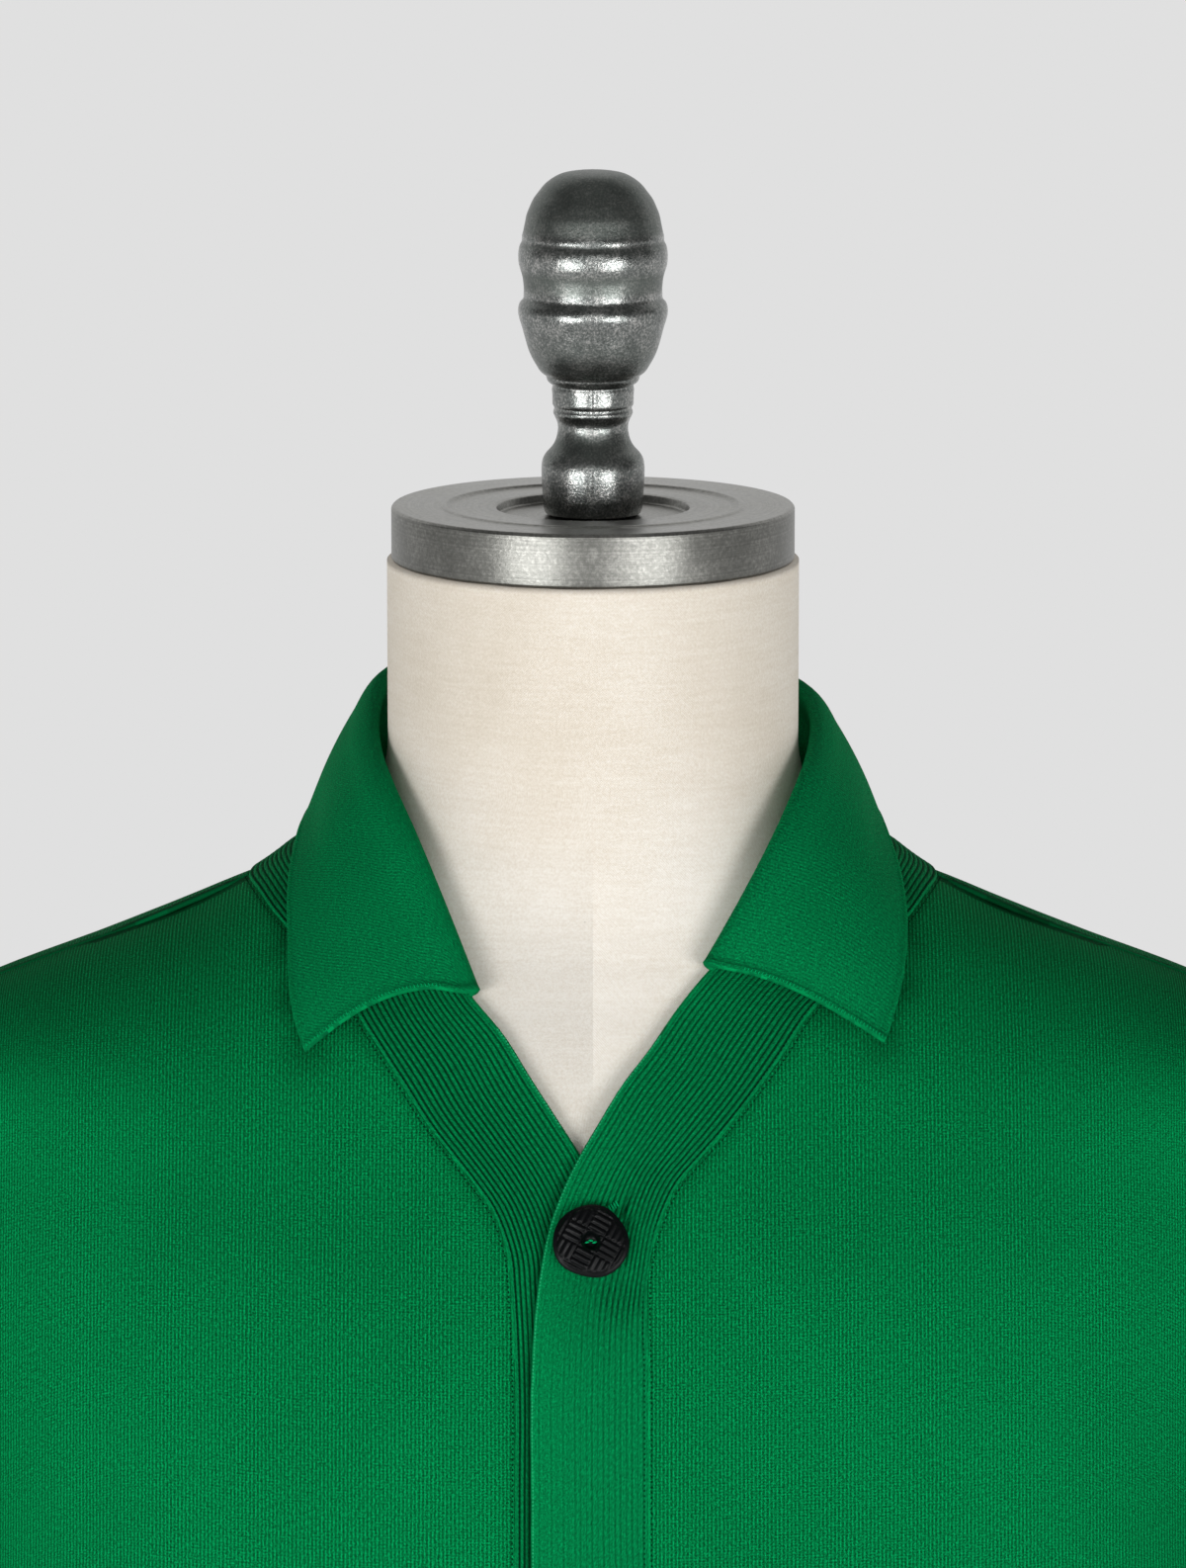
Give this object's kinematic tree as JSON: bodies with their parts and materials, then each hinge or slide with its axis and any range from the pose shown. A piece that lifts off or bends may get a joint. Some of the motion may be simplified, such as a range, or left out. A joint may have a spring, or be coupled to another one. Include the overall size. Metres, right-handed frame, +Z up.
{
  "type": "knitted cardigan on tabletop dress form",
  "caption": "Long-sleeved fine-knit cardigan with a fold-over collar, ribbed button bands, cuffs and hem, buttoned on a limbless tabletop dress form with a metal neck cap and knob.",
  "frame": {"origin": "middle of the dress form's flat underside", "axes": "+Z up along the form's neck, -Y towards the buttoned front, +X towards the wearer's left"},
  "size_m": [0.5872, 0.2741, 0.9243],
  "materials": {
    "canvas": "matte plain-weave canvas",
    "cap": "brushed, turned",
    "knob": "speckled hammered grey",
    "jersey": "matte fine-gauge plain knit",
    "rib": "matte ribbed knit",
    "collar_knit": "matte fine-gauge plain knit",
    "button": "semi-matte black with a woven relief"
  },
  "bodies": {
    "root": {"form_torso": "canvas", "neck_cap": "cap", "knob": "knob", "front_left": "jersey", "front_right": "jersey", "back": "jersey", "band_left": "rib", "band_right": "rib", "sleeve_left": "jersey", "cuff_left": "rib", "sleeve_right": "jersey", "cuff_right": "rib", "hem_left": "rib", "hem_right": "rib", "hem_back": "rib", "collar": "collar_knit", "button_1": "button", "button_2": "button", "button_3": "button", "button_4": "button", "button_5": "button", "button_6": "button"}
  },
  "joints": []
}
